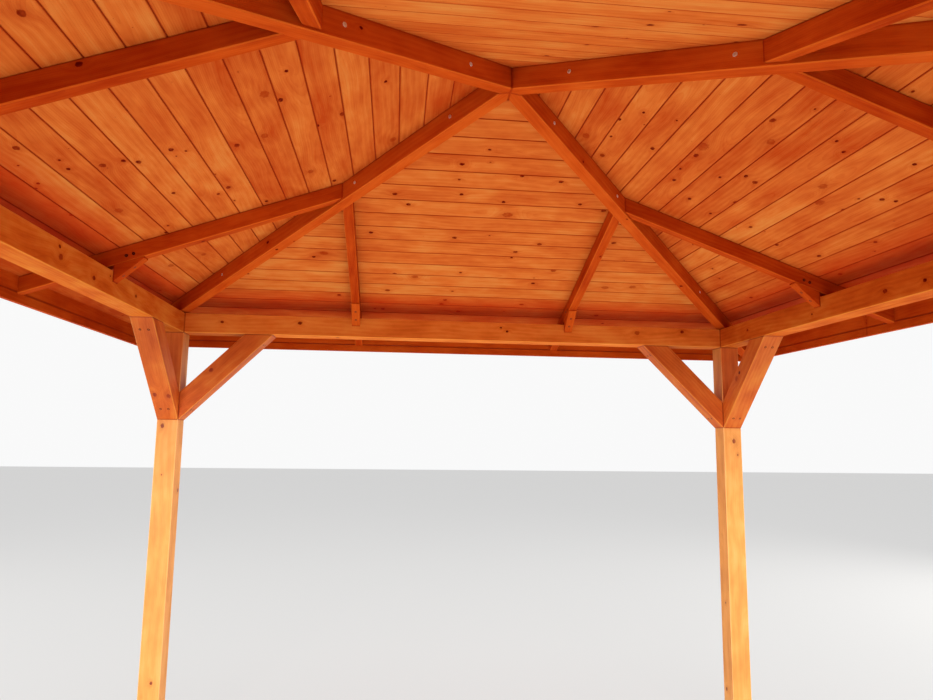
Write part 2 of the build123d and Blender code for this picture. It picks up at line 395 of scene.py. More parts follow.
# %% Directions and joints
ROOF_SLOPE = math.radians(20)
HIP_SLOPE = math.atan(math.tan(ROOF_SLOPE) / math.sqrt(2))
ROOF_COS, ROOF_SIN = math.cos(ROOF_SLOPE), math.sin(ROOF_SLOPE)
HIP_COS, HIP_SIN = math.cos(HIP_SLOPE), math.sin(HIP_SLOPE)
OUTWARD = {
    "front": Vector((0, -1, 0)), "right": Vector((1, 0, 0)),
    "back": Vector((0, 1, 0)), "left": Vector((-1, 0, 0)),
}
UP = Vector((0, 0, 1))
INNER_FACE, CLEAR_HEIGHT = 1.402, 2.050
SQUARE_HALF, HIP_HALF, JACK_HALF = 0.049, 0.025, 0.020   # half widths: posts, beams and braces; rafters
BOARD_THICK = 0.018
LOWER_FASCIA = 0.0368    # from the lower edge of the fascia to the seam between its two boards

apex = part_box("roof_boards_front")[1].z - BOARD_THICK / ROOF_COS


def face_normal(side):
    """Square to a roof face, outwards."""
    return OUTWARD[side] * ROOF_SIN + UP * ROOF_COS


def face_fall(side):
    """Straight down a roof face."""
    return OUTWARD[side] * ROOF_COS - UP * ROOF_SIN


def timber_direction(name):
    """Along the grain of the timber with this name."""
    kind, *words = name.split("_")
    if kind == "post":
        return UP
    if kind in ("beam", "fascia"):
        return OUTWARD[words[0]].cross(UP)
    if kind == "knee":
        return (OUTWARD[words[2]] - UP).normalized()
    if kind == "hip":
        level = (OUTWARD[words[1]] + OUTWARD[words[2]]).normalized()
        return level * HIP_COS - UP * HIP_SIN
    return face_fall(words[1])


def timber_seams(name):
    """The planes, as direction and distance, in which a timber meets others."""
    kind, *words = name.split("_")
    if kind == "post":
        return [(UP, CLEAR_HEIGHT)]
    if kind == "beam":
        along = OUTWARD[words[0]].cross(UP)
        return [(along, INNER_FACE), (-along, INNER_FACE)]
    if kind == "knee":
        return [(UP, CLEAR_HEIGHT), (OUTWARD[words[2]], INNER_FACE)]
    boards = apex * ROOF_COS
    if kind == "hip":
        return [(face_normal(words[1]), boards), (face_normal(words[2]), boards),
                (OUTWARD[words[1]], 0), (OUTWARD[words[2]], 0)]
    if kind == "jack":
        cheek = (OUTWARD[words[1]] - OUTWARD[words[2]]).normalized()
        return [(face_normal(words[1]), boards), (cheek, HIP_HALF)]
    if kind == "wedge":
        return [(OUTWARD[words[1]], INNER_FACE)]
    # the fascia's two boards meet at the top of the lower one; the dark line there is painted shadow of their
    # gap
    return [(UP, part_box(name)[0].z + LOWER_FASCIA)]


print("apex of the boards' underside:", round(apex, 4))

# %% [markdown]
# Knots come where branches were. Those that can be made out from inside are listed by the place
# of their middle. Chance places the others, and the pith of each timber.

# %% Knots that can be made out
SIZES = {       # half of what can hold a knot: across, and from face to face
    "post": (0.034, 0.034), "beam": (0.034, 0.034), "knee": (0.034, 0.034), "hip": (0.016, 0.026),
    "jack": (0.012, 0.020), "wedge": (0.012, 0.020), "fascia": (0.006, 0.028),
}
# the braces' "shaded" glaze is a darker copy, painted shade; the posts' paler one is painted sunlight
DRESS = {       # glaze, reflection, knots by chance
    "post": ("painted_sunlit", CLOSED, 3), "beam": ("beam", SOAKED, 2), "knee": ("shaded", 0.20, 0),
    "hip": ("rafter", SOAKED, 3), "jack": ("rafter", SOAKED, 1), "wedge": ("rafter", SOAKED, 0),
    "fascia": ("rafter", SOAKED, 4),
}
TIMBER_KNOTS = {   # middle in metres, radius in millimetres
    "beam_back": [(0.935, 1.402, 2.115, 12), (1.187, 1.402, 2.128, 9), (-0.836, 1.402, 2.114, 9),
                  (-1.220, 1.402, 2.107, 7), (0.230, 1.402, 2.102, 6)],
    "beam_left": [(-1.402, 0.384, 2.084, 9), (-1.402, 0.147, 2.095, 11), (-1.402, 0.767, 2.100, 7),
                  (-1.402, 0.135, 2.126, 6)],
    "knee_brace_left_back": [(-1.480, 1.287, 1.730, 10), (-1.415, 1.292, 1.725, 11)],
    "knee_brace_back_left": [(-1.259, 1.402, 1.864, 10)],
    "knee_brace_right_back": [(1.402, 1.248, 1.867, 13), (1.402, 1.215, 1.895, 8)],
    "post_back_left": [(-1.472, 1.402, 1.585, 9)],
    "post_back_right": [(1.457, 1.402, 1.547, 10)],
    "beam_right": [(1.402, 0.166, 2.092, 9), (1.402, -0.018, 2.089, 7), (1.402, 1.120, 2.100, 6)],
}
print("knots set by hand on the timbers:", sum(len(knots) for knots in TIMBER_KNOTS.values()))

# %% [markdown]
# Every timber is now dressed in turn. A listed knot is on the pair of faces that it is
# nearest to. The dice are seeded, so each run places the same knots and cuts the same logs.

# %% Dress the timbers
KNOT_REACH, BRACE_HALF = 0.034, 0.25   # how far from its middle line a square timber's knots go; half a brace
JACK_TONE = 0.2                        # the jacks are darker than the hips

dice = random.Random(20)
dressed = 0
for name in sorted(nodes):
    kind = name.split("_")[0]
    if kind not in DRESS or name == "hip_caps":
        continue
    glaze, shine, by_chance = DRESS[kind]
    # the side beams take the darker copy of the glaze, painted shade
    if name in ("beam_left", "beam_right"):
        glaze = "shaded"
    low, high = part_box(name)
    middle, along = (low + high) / 2, timber_direction(name)
    side = Vector((1, 0, 0)) if kind == "post" else along.cross(UP).normalized()
    third = along.cross(side)
    if kind == "knee":      # its box has its middle on the brace's underside
        middle = middle + (OUTWARD[name.split("_")[3]] + UP).normalized() * SQUARE_HALF
    half = abs(along.dot(high - low)) / 2 if kind != "knee" else BRACE_HALF
    knots = []
    for x, y, z, size in TIMBER_KNOTS.get(name, []):
        away = Vector((x, y, z)) - middle
        on_side = abs(abs(away.dot(side)) - SQUARE_HALF) < abs(abs(away.dot(third)) - SQUARE_HALF)
        across = away.dot(third if on_side else side)
        across = max(-KNOT_REACH, min(KNOT_REACH, across))
        knots.append((away.dot(along), across, size / 1000, "side" if on_side else "top"))
    for _ in range(by_chance):
        pair = dice.choice(("top", "side"))
        limit = SIZES[kind][0 if pair == "top" else 1]
        along_it, across = dice.uniform(-0.9, 0.9) * half, dice.uniform(-limit, limit)
        knots.append((along_it, across, dice.uniform(0.003, 0.008), pair))
    log = Vector((
        dice.uniform(0, 50), dice.uniform(-0.09, 0.09), dice.choice((-1, 1)) * dice.uniform(0.02, 0.09)
    ))
    tone = dice.uniform(-0.08, 0.08) + (JACK_TONE if kind == "jack" else 0.0)
    nodes[name].material_slots[0].material = timber_finish(
        name, middle, (along, side, third), log, knots, glaze, tone, timber_seams(name), shine
    )
    dressed += 1
print("timbers dressed:", dressed)

# %% [markdown]
# The ceiling is tongued boards, and here they are made one by one. First come a few helpers.
# They select pieces, pick faces or edges of a mesh by a rule, and make, copy, lay, join and cut
# pieces; the last ones store numbers for each point and read them. Operators act on everything
# that is selected, so each step starts from an empty selection.

# %% Helpers for shaping
def deselect():
    """Back to object mode with nothing selected."""
    if bpy.context.object and bpy.context.object.mode != "OBJECT":
        bpy.ops.object.mode_set(mode="OBJECT")
    bpy.ops.object.select_all(action="DESELECT")


def take(*pieces):
    """Selects these pieces and nothing else, the first one active."""
    deselect()
    for piece in pieces:
        piece.select_set(True)
    bpy.context.view_layer.objects.active = pieces[0]
    return pieces[0]


def pick(piece, rule, part="FACE"):
    """Edit mode, with the faces (middle, normal) or edges (middle, direction) that fit a rule."""
    take(piece)
    bpy.ops.object.mode_set(mode="EDIT")
    bpy.ops.mesh.select_mode(type=part)
    bpy.ops.mesh.select_all(action="DESELECT")
    bpy.ops.object.mode_set(mode="OBJECT")
    mesh = piece.data
    if part == "FACE":
        for face in mesh.polygons:
            face.select = rule(face.center, face.normal)
    else:
        for edge in mesh.edges:
            a, b = (mesh.vertices[i].co for i in edge.vertices)
            edge.select = rule((a + b) / 2, (b - a).normalized())
    bpy.ops.object.mode_set(mode="EDIT")


def block(name, size, middle):
    """A cube of this size, with its place in its mesh."""
    deselect()
    bpy.ops.mesh.primitive_cube_add(size=1, location=middle)
    piece = bpy.context.object
    piece.name = name
    piece.scale = size
    bpy.ops.object.transform_apply(location=True, rotation=True, scale=True)
    return piece


def copy_of(piece, name, place=Matrix()):
    """A copy with its own mesh, put in place."""
    twin = piece.copy()
    twin.data = piece.data.copy()
    twin.name = name
    scene.collection.objects.link(twin)
    twin.data.transform(place)
    return twin


def laid_on(fall, lift, start):
    """The matrix that turns y to the fall of a slope and z to its normal, and moves to its upper end."""
    turn = Matrix((fall.cross(lift), fall, lift)).transposed().to_4x4()
    turn.translation = start
    return turn


def joined(pieces, name):
    """Several pieces made one."""
    take(*pieces)
    bpy.ops.object.join()
    pieces[0].name = name
    pieces[0].data.name = name
    return pieces[0]


def cut(piece, point, normal):
    """Cuts off what stands past a plane, and closes the cut."""
    take(piece)
    bpy.ops.object.mode_set(mode="EDIT")
    bpy.ops.mesh.select_all(action="SELECT")
    bpy.ops.mesh.bisect(plane_co=point, plane_no=normal, use_fill=True, clear_outer=True)
    bpy.ops.object.mode_set(mode="OBJECT")


def trimmed(pieces, planes):
    """Pieces cut one by one, each only along the planes it crosses; what lies past a plane is dropped."""
    kept = []
    for piece in pieces:
        for point, normal in planes:
            past = (points(piece) - np.array(point)) @ np.array(Vector(normal).normalized())
            if past.min() > -0.0005:
                bpy.data.objects.remove(piece)
                break
            if past.max() > 0.00001:
                cut(piece, point, normal)
        else:
            kept.append(piece)
    return kept


def give(piece, label, values):
    """Stores a number or a vector for each point of a mesh; a single number goes to all of them."""
    values = np.asarray(values, np.float32)
    if values.ndim == 0:
        values = np.full(len(piece.data.vertices), values)
    kind, field = ("FLOAT", "value") if values.ndim == 1 else ("FLOAT_VECTOR", "vector")
    piece.data.attributes.new(label, kind, "POINT").data.foreach_set(field, values.ravel())


def stored(piece, label):
    """The whole numbers that a mesh stores for its points."""
    found = np.empty(len(piece.data.vertices), np.float32)
    piece.data.attributes[label].data.foreach_get("value", found)
    return np.rint(found).astype(int)


def points(piece):
    """All points of a mesh as an array."""
    found = np.empty(len(piece.data.vertices) * 3, np.float32)
    piece.data.vertices.foreach_get("co", found)
    return found.reshape(-1, 3)


# %% [markdown]
# One roof board: 18 mm thick, laid to cover 91.5 mm, with its two lower edges bevelled so that
# two boards side by side form a V joint, a tongue on the eave side and a groove on the other.
# A cube is stretched to the board's size, its lower edges are bevelled, and the tongue and
# groove are an inset of a side face, extruded out or in.

# %% One roof board
BOARD_COVER, BOARD_GAP = 0.0915, 0.0008
VEE, TONGUE = 0.0020, 0.006

eave = -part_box("roof_boards_front")[0].y
slope_length = eave / ROOF_COS

board = block("roof_board", (2 * eave + 0.1, BOARD_COVER - BOARD_GAP, BOARD_THICK), (0, 0, BOARD_THICK / 2))
pick(board, lambda middle, way: middle.z < 0.001 and abs(way.x) > 0.9, "EDGE")
bpy.ops.mesh.bevel(offset=VEE, segments=1, affect="EDGES")
pick(board, lambda middle, normal: normal.y > 0.9)
bpy.ops.mesh.inset(thickness=(BOARD_THICK - VEE - TONGUE) / 2)
bpy.ops.mesh.extrude_region_move(TRANSFORM_OT_translate={"value": (0, TONGUE, 0)})
pick(board, lambda middle, normal: normal.y < -0.9)
bpy.ops.mesh.inset(thickness=(BOARD_THICK - VEE - TONGUE) / 2 - 0.0002)
bpy.ops.mesh.extrude_region_move(TRANSFORM_OT_translate={"value": (0, TONGUE + 0.001, 0)})
deselect()
print("roof board:", len(board.data.polygons), "faces, slope length", round(slope_length, 3))

# %% [markdown]
# The boards of one roof face lie side by side from the eave to the apex. Each is a copy laid on
# the slope; the rows are then joined and cut along both hips and at the eave, and the face is
# turned to its side. The joints of the four faces don't meet on the hips: each face was boarded
# on its own, and the lowest board ripped to fit, so each has its own first joint. Every point
# also stores its row, from which it learns later which log its board was sawn from.

# %% Roof boards of the four faces
EAVE_COVER = {"front": 0.048, "right": 0.075, "back": 0.070, "left": 0.090}   # lowest board, to its joint

lay = laid_on(face_fall("front"), face_normal("front"), UP * apex)

ceilings, rows = {}, {}
for turns, side in enumerate(OUTWARD):
    rows[side] = [slope_length - EAVE_COVER[side] + BOARD_COVER / 2]
    while rows[side][-1] > BOARD_COVER / 2:
        rows[side].append(rows[side][-1] - BOARD_COVER)
    laid = []
    for number, row in enumerate(rows[side]):
        one = copy_of(board, f"board_{number}", lay @ Matrix.Translation((0, row, 0)))
        give(one, "row", number)
        laid.append(one)
    ceiling = joined(laid, f"ceiling_boards_{side}")
    cut(ceiling, (0, 0, 0), (1, 1, 0))
    cut(ceiling, (0, 0, 0), (-1, 1, 0))
    cut(ceiling, (0, -eave, 0), (0, -1, 0))
    ceiling.data.transform(Matrix.Rotation(turns * math.pi / 2, 4, "Z"))
    ceilings[side] = ceiling
    print(side, "boards:", len(laid), "faces:", len(ceiling.data.polygons))
bpy.data.objects.remove(board)

# %% [markdown]
# A board is flat-sawn from a log a hand or two across, so its pith lies a little behind or in
# front of it. The knots that can be made out from inside are listed for each roof face:
# distance from the apex down the slope, distance along the face, and radius, in millimetres.
# Each board keeps its first four; a few small ones come from a pattern.

# %% Knots of the boards that can be made out
MARKS = 4                # knots that one board can store
SEEN_KNOTS = {
    "front": [(602, 113, 7), (653, 230, 8), (713, 426, 9)],
    "right": [(332, 201, 14), (398, 21, 6), (409, 141, 5), (424, 287, 10), (450, -68, 5), (555, 110, 8),
              (683, -20, 20), (686, 163, 5), (689, 45, 9), (702, 253, 8), (718, 375, 7), (748, -24, 9),
              (776, -282, 9), (806, 340, 8), (830, -184, 13), (876, 45, 7), (917, 385, 6), (918, 59, 9),
              (941, 233, 8), (964, -307, 5), (967, -593, 4), (1011, -275, 6), (1077, 362, 7), (1084, -74, 14),
              (1138, 19, 15), (1183, -347, 6), (1217, 6, 7), (1224, 416, 7), (1251, -133, 7), (1284, -152, 6),
              (1376, 368, 8), (1423, 115, 7), (1459, 1017, 8), (1521, 440, 8)],
    "back": [(364, -18, 5), (448, -114, 8), (496, 129, 7), (517, 291, 8), (535, -116, 5), (622, -98, 7),
             (640, -368, 8), (647, 403, 7), (656, 80, 7), (681, 514, 9), (701, -312, 8), (738, 110, 17),
             (901, 626, 9), (902, -470, 8), (914, -101, 8), (934, 289, 9), (1001, 190, 8), (1047, 179, 6),
             (1072, -688, 16), (1105, -736, 7), (1140, 400, 11), (1188, -47, 6), (1219, -364, 8),
             (1240, -265, 13), (1257, 322, 8), (1257, 833, 14), (1273, 695, 14), (1297, 99, 13),
             (1370, -398, 10), (1430, -641, 8), (1443, -103, 9), (1462, 301, 9), (1484, -118, 9),
             (1548, 727, 9), (1553, -422, 9), (1554, -25, 9)],
    "left": [(402, 274, 14), (568, -11, 9), (639, 491, 8), (651, 21, 7), (715, 347, 12), (735, -189, 8),
             (771, -239, 15), (816, -8, 12), (906, 5, 9), (908, 500, 7), (1002, 286, 9), (1045, 316, 6),
             (1048, -46, 4), (1082, -77, 8), (1151, -746, 9), (1165, -564, 6), (1168, 209, 7), (1184, -57, 8),
             (1216, -87, 7), (1256, 878, 12), (1273, -93, 10), (1298, 523, 7), (1354, -124, 6),
             (1355, 225, 15), (1402, 895, 13), (1404, -295, 9), (1454, -90, 5), (1473, -66, 5),
             (1477, 162, 9)],
}
print("knots listed on the boards:", sum(len(knots) for knots in SEEN_KNOTS.values()))

# %% [markdown]
# Every point of a board stores what its finish needs: its place in the board's own directions,
# the log that the board was sawn from, its tone and its knots. The boards past the beams and at
# them are darker, and so are those towards the apex: painted shade, where less light reaches them.

# %% Grain of the boards
FACE_TONE = {"front": -0.14, "right": 0.04, "back": -0.08, "left": 0.03}
AT_BEAMS, PAST_BEAMS = 1.45, 1.60       # from the apex, down the slope

for side, ceiling in ceilings.items():
    row = stored(ceiling, "row")
    sideways = Vector((1, 0, 0) if side in ("front", "back") else (0, 1, 0))
    axes = np.array([list(axis) for axis in (sideways, face_fall(side), face_normal(side))])
    own = (points(ceiling) - np.array((0, 0, apex))) @ axes.T
    own[:, 1] -= np.array(rows[side])[row]
    logs, tones, marks = [], [], []   # of each board
    for centre in rows[side]:
        logs.append((dice.uniform(0, 80), dice.uniform(-0.07, 0.07),
                     dice.choice((-1, 1)) * dice.uniform(0.012, 0.075)))
        # painted shade: darker towards the apex, and at and past the beams
        apex_shade = 0.24 * (1 - centre / slope_length)
        painted_board_shade = 0.3 if centre > PAST_BEAMS else 0.18 if centre > AT_BEAMS else apex_shade
        tones.append(dice.uniform(-0.09, 0.09) + FACE_TONE[side] + painted_board_shade)
        near = [(x / 1000, s / 1000 - centre, r / 1000) for s, x, r in SEEN_KNOTS[side]
                if abs(s / 1000 - centre) <= BOARD_COVER / 2]
        marks.append((near + [(99, 0, 0.001)] * MARKS)[:MARKS])
    give(ceiling, "place", own)
    give(ceiling, "log", np.array(logs)[row])
    give(ceiling, "tone", np.array(tones)[row])
    for number in range(MARKS):
        give(ceiling, f"knot_{number + 1}", np.array(marks)[row, number])
print("boards with a log of their own:", sum(len(of_face) for of_face in rows.values()))

# %% [markdown]
# The boards' finish is the same pine and glaze. It reads the place and log that each point
# stores. Small knots come from a cell pattern: one cell is about 250 mm wide, one point in it
# may be a knot, and the cell's own random colour says how large it is or that there is none.

# %% Knots in the boards' finish
board_finish, tree, shader = new_finish("stained_pine_boards")
place = add(tree, "Attribute", attribute_name="place").outputs["Vector"]
log = add(tree, "Attribute", attribute_name="log").outputs["Vector"]
tone = add(tree, "Attribute", attribute_name="tone").outputs["Fac"]
shifted = add(tree, "VectorMath", {0: log, 1: (1.0, 37.0, 0.0)}, operation="MULTIPLY")
shifted = add(tree, "VectorMath", {0: place, 1: shifted}, operation="ADD")
cells = add(tree, "TexVoronoi", {"Vector": shifted, "Scale": 4.2}, voronoi_dimensions="2D")
chance = add(tree, "SeparateColor", {0: cells.outputs["Color"]})
size = add(
    tree, "MapRange",
    {"Value": chance, "From Min": 0.6, "From Max": 1.0, "To Min": 0.0006, "To Max": 0.006},
)
marks = [(shifted, cells.outputs["Position"], size, (0.7, 1, 0))]
for number in range(MARKS):
    mark = add(tree, "Attribute", attribute_name=f"knot_{number + 1}").outputs["Vector"]
    marks.append((place, mark, add(tree, "SeparateXYZ", {0: mark}).outputs[2], (0.7, 1, 0)))
core, push = knots_in(tree, marks, "ADD")
print("knots that a board can show at a point:", len(marks))

# %% [markdown]
# The brush leaves more stain in the V joint, so its two slopes are dark red, with painted shade
# of the groove in it too. Close behind the beams a red band runs along them: painted shade,
# where the beams keep the light off the boards.

# %% Finish of the boards
VEE_EDGE, SHADE_BAND_MIDDLE = BOARD_COVER / 2, INNER_FACE + 0.045
pale, amber, deep = (linear(colour) for colour in GLAZES["board"])
look = add(
    tree, "Group",
    {"Place": place, "Log": log, "Knot": core, "Push": push, "Tone": tone, "Pale": pale, "Amber": amber,
     "Deep": deep}, node_tree=pine,
).outputs
parts = add(tree, "SeparateXYZ", {0: place})
from_middle = add(tree, "Math", {0: parts.outputs[1]}, operation="ABSOLUTE")
# dark red in the V joint: stain gathered there, and painted shade of the groove
vee_stain_and_shade = add(
    tree, "MapRange",
    {"Value": from_middle, "From Min": VEE_EDGE - 0.0040, "From Max": VEE_EDGE - 0.0015, "To Max": 0.76},
)
here = add(tree, "SeparateXYZ", {0: add(tree, "TexCoord").outputs["Object"]}).outputs
x, y = (add(tree, "Math", {0: here[axis]}, operation="ABSOLUTE") for axis in (0, 1))
from_centre = add(tree, "Math", {0: x, 1: y}, operation="MAXIMUM")
# a red band of painted shade along the beams
from_shade_band = add(tree, "Math", {0: from_centre, 1: SHADE_BAND_MIDDLE}, operation="SUBTRACT")
from_shade_band = add(tree, "Math", {0: from_shade_band}, operation="ABSOLUTE")
painted_shade_band = add(tree, "MapRange", {"Value": from_shade_band, "From Min": 0.14, "From Max": 0.04, "To Max": 0.55})
with_painted_shade = add(tree, "Mix", {0: painted_shade_band, 6: look["Colour"], 7: linear("#C82A06")}, data_type="RGBA")
stained = add(tree, "Mix", {0: vee_stain_and_shade, 6: with_painted_shade.outputs[2], 7: linear("#9A2204")}, data_type="RGBA")
coat(tree, shader, look, stained.outputs[2], SOAKED)
for side, ceiling in ceilings.items():
    ceiling.data.materials.clear()
    ceiling.data.materials.append(board_finish)
    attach(ceiling, "root")
    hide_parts(f"roof_boards_{side}")
print("nodes of the boards' finish:", len(tree.nodes))

# %% [markdown]
# The rafters and braces are held by zinc-plated flange screws. On the hips their heads show as
# bright dots; the others were driven before the last coat and are glazed over, nearly brown.
# One head is enough: a short cylinder, its rim bevelled to a dome, and a drive sunk into the
# top by an inset and an extrusion. Copies are turned to face out of each timber.

# %% One screw head
HEAD_RADIUS, HEAD_HEIGHT = 0.0065, 0.0024

deselect()
bpy.ops.mesh.primitive_cylinder_add(
    vertices=12, radius=HEAD_RADIUS, depth=HEAD_HEIGHT, location=(0, 0, HEAD_HEIGHT / 2)
)
head = bpy.context.object
pick(head, lambda middle, normal: normal.z > 0.9)
bpy.ops.mesh.bevel(offset=HEAD_HEIGHT * 0.6, segments=2, affect="EDGES")
pick(head, lambda middle, normal: normal.z > 0.99)
bpy.ops.mesh.inset(thickness=HEAD_RADIUS * 0.35)
bpy.ops.mesh.extrude_region_move(TRANSFORM_OT_translate={"value": (0, 0, -HEAD_HEIGHT * 0.5)})
deselect()
print("screw head:", len(head.data.polygons), "faces")

# %% [markdown]
# Each place is worked out from the timber that the screw holds, with the direction in which its
# head looks: three pairs through each hip, two through the foot of each jack into its wedge,
# two up through the wedge, and two at each end of every brace.

# %% Places of the screws
CORNERS = {"front_left": (-1, -1), "front_right": (1, -1), "back_right": (1, 1), "back_left": (-1, 1)}
HIP_TOP_TO_SCREW, JACK_TOP_TO_SCREW = 0.040, 0.042
JACK_OFFSET, BRACE_REACH = 0.555, 0.435
WEDGE_SLOPE, WEDGE_FOOT = math.radians(42), 2.106   # of its underside, and its height at the beam
IN_HIP, IN_JACK, IN_WEDGE = (0.235, 0.715, 1.62), (1.335, 1.360), (1.372, 1.334)   # from the middle
IN_BRACE = (0.05, 0.385)                            # up from the brace's foot

bright, spots = [], []   # place and direction of each head
for x_sign, y_sign in CORNERS.values():
    way = Vector((x_sign, y_sign, 0)).normalized()
    flank = way.cross(UP)
    for reach in IN_HIP:
        height = apex - reach * math.tan(HIP_SLOPE) - HIP_TOP_TO_SCREW
        for face in (-1, 1):
            bright.append((way * reach + flank * face * HIP_HALF + UP * height, flank * face))
for side, level in OUTWARD.items():
    run = level.cross(UP)
    for end in (-1, 1):
        # through the foot of the jack into its wedge, then up through the wedge
        for reach in IN_JACK:
            height = apex - reach * math.tan(ROOF_SLOPE) - JACK_TOP_TO_SCREW
            for face in (-1, 1):
                middle = level * reach + run * (end * JACK_OFFSET + face * JACK_HALF)
                spots.append((middle + UP * height, run * face))
        slant = level * -math.sin(WEDGE_SLOPE) - UP * math.cos(WEDGE_SLOPE)
        for reach in IN_WEDGE:
            height = WEDGE_FOOT + (INNER_FACE - reach) * math.tan(WEDGE_SLOPE)
            spots.append((level * reach + run * end * JACK_OFFSET + UP * height, slant))
        # at both ends of the brace's underside
        under = (-run * end - UP).normalized()
        for along_brace in IN_BRACE:
            middle = level * (INNER_FACE + SQUARE_HALF) + run * end * (INNER_FACE - along_brace)
            middle += UP * (CLEAR_HEIGHT - BRACE_REACH + along_brace)
            for offset in (-0.018, 0.018):
                spots.append((middle + level * offset, under))
print("screws:", len(bright), "bright,", len(spots), "glazed over")

# %% [markdown]
# A head is copied to each place and turned, and all of one kind are joined. Zinc plating is a
# bright metal with a bloom of fine spots. The glazed heads are coated, so they are no longer
# metallic and hardly shine.

# %% Screws in place
def place_heads(places, name):
    """A copy of the head at each place, turned to its direction, all joined."""
    heads = []
    for number, (place, way) in enumerate(places):
        turn = way.to_track_quat("Z", "Y").to_matrix().to_4x4()
        heads.append(copy_of(head, f"head_{number}", Matrix.Translation(place) @ turn))
    return joined(heads, name)


def head_finish(name, clean, dirty, metallic, shine):
    """Zinc or glaze with a bloom of fine spots."""
    finish, tree, shader = new_finish(name)
    here = add(tree, "TexCoord").outputs["Object"]
    bloom = add(tree, "TexNoise", {"Vector": here, "Scale": 900.0, "Detail": 2.0})
    shade = add(tree, "Mix", {0: bloom, 6: linear(clean), 7: linear(dirty)}, data_type="RGBA").outputs[2]
    dull = {"Value": bloom, "From Min": 0.3, "From Max": 0.7, "To Min": 0.25, "To Max": 0.45}
    feed(tree, shader, {"Base Color": shade, "Roughness": add(tree, "MapRange", dull), "Metallic": metallic,
                        "Specular IOR Level": shine})
    return finish


zinc_heads = place_heads(bright, "flange_screws_zinc")
zinc_heads.data.materials.append(head_finish("zinc_plated_steel", "#F2EEE6", "#C9C1B0", 0.7, 0.5))
glazed_heads = place_heads(spots, "flange_screws_glazed")
glazed_heads.data.materials.append(head_finish("glazed_over_steel", "#5E1C08", "#3A1004", 0.0, 0.1))
bpy.data.objects.remove(head)
for piece in (zinc_heads, glazed_heads):
    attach(piece, "root")
    print(piece.name, "faces:", len(piece.data.polygons))

# %% [markdown]
# The roof is covered with bitumen shingles, laid in courses from the eave up. Each strip is cut
# into tabs a third of a metre wide, with a narrow slot between two, and the courses are shifted
# by half a tab so that no slots line up. One tab is a flat block whose upper edge is sunk, so
# that it passes under the next course, with a rounded lower edge.

# %% One shingle tab
EXPOSURE, TAB_WIDTH, SLOT = 0.145, 0.333, 0.007
SHEET, BUTT, LAPPED = 0.003, 0.007, 0.004   # heights of the sheet and of a tab's lower and upper edges

tab = block("shingle_tab", (TAB_WIDTH - SLOT, EXPOSURE, BUTT - SHEET), (0, -EXPOSURE / 2, (BUTT + SHEET) / 2))
pick(tab, lambda middle, way: middle.z > BUTT - 0.0001 and middle.y < -EXPOSURE + 0.001, "EDGE")
bpy.ops.transform.translate(value=(0, 0, LAPPED - BUTT))
pick(tab, lambda middle, way: abs(middle.x) > 0.1 and abs(middle.y) < 0.001 and abs(way.z) > 0.9, "EDGE")
bpy.ops.mesh.bevel(offset=0.006, segments=2, affect="EDGES")
pick(tab, lambda middle, way: middle.z > BUTT - 0.0001 and middle.y > -0.02, "EDGE")
bpy.ops.mesh.bevel(offset=0.0012, segments=1, affect="EDGES")
deselect()
print("shingle tab:", len(tab.data.polygons), "faces")

# %% [markdown]
# The tabs of one roof face are laid over a thin sheet that shows in the slots. Sheet and tabs
# are cut along the hips one by one, so that each stays closed, then joined, and turned to make
# the other three faces. Every tab has its own tone, as shingles come from the pack a little
# lighter or darker.

# %% Shingles of the four faces
COVERING_LINE = 1.763    # lower edge of the covering, from the middle of the roof
covering_length = COVERING_LINE / ROOF_COS
on_boards = Matrix.Translation(UP * BOARD_THICK / ROOF_COS) @ lay

sheet = block("sheet", (2 * COVERING_LINE + 0.1, covering_length, SHEET), (0, covering_length / 2, SHEET / 2))
sheet.data.transform(on_boards)
give(sheet, "tab", 0)
pieces, number, course = [sheet], 0, 0
while covering_length - course * EXPOSURE > 0:
    edge = covering_length - course * EXPOSURE
    reach = edge * ROOF_COS + TAB_WIDTH
    shift = (course % 2) * TAB_WIDTH / 2
    middle = -math.ceil(reach / TAB_WIDTH) * TAB_WIDTH + shift
    while middle < reach:
        number += 1
        place = Matrix.Translation((middle + dice.uniform(-0.0015, 0.0015), edge, 0))
        one = copy_of(tab, f"tab_{number}", on_boards @ place)
        give(one, "tab", number)
        pieces.append(one)
        middle += TAB_WIDTH
    course += 1
pieces = trimmed(pieces, (((0, 0, 0), (1, 1, 0)), ((0, 0, 0), (-1, 1, 0))))
front_shingles = joined(pieces, "shingle_courses_front")
bpy.data.objects.remove(tab)
coverings = {"front": front_shingles}
for turns, side in enumerate(("right", "back", "left"), 1):
    turned = Matrix.Rotation(turns * math.pi / 2, 4, "Z")
    coverings[side] = copy_of(front_shingles, f"shingle_courses_{side}", turned)
for side, piece in coverings.items():
    tones = np.array([dice.uniform(-1, 1) for _ in range(number + 1)])
    give(piece, "tone", tones[stored(piece, "tab")])
print("courses:", course, "tabs a face:", number, "faces:", len(front_shingles.data.polygons))

# %% [markdown]
# Each hip is capped by single tabs folded over it, from the eave up, each lapping the one
# below. A flat block is cut down its middle, its sides are let down to the slope of the two
# roof faces, its upper edge is sunk, and the fold is rounded.

# %% One hip cap
CAP_WIDTH, CAP_THICK, CAP_EXPOSURE = 0.110, 0.004, 0.140
diagonal = Vector((-1, -1, 0)).normalized()
hip_normal = diagonal * HIP_SIN + UP * HIP_COS
cap_slope = math.acos(min(1.0, face_normal("front").dot(hip_normal)))
cap_reach, cap_fall = CAP_WIDTH * math.cos(cap_slope), CAP_WIDTH * math.sin(cap_slope)
cap_lift = CAP_THICK / math.cos(cap_slope)

